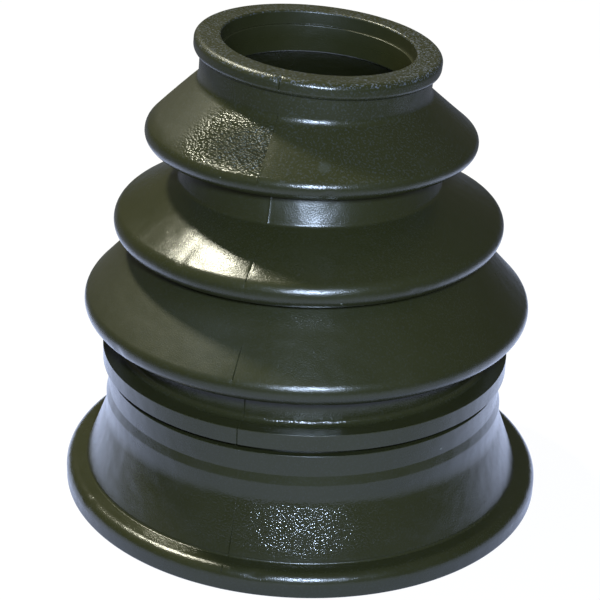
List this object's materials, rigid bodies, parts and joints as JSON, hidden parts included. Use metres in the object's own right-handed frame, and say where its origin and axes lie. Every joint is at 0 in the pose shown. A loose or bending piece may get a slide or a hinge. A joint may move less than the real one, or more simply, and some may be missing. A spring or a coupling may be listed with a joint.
{
  "type": "rubber bellows boot",
  "caption": "Tapered rubber bellows boot with round folds, a flared foot with a thick rim and a clamp groove, and a lipped collar that grips a rod or tube.",
  "frame": {"origin": "centre of the foot's flat lower face", "axes": "+Z along the boot's axis, from the wide foot to the small collar; the mould's parting plane is X = 0"},
  "size_m": [0.11, 0.11, 0.1043],
  "materials": {
    "rubber": "satin with a fine moulded grain"
  },
  "bodies": {
    "root": {"bellows_boot": "rubber"}
  },
  "joints": []
}
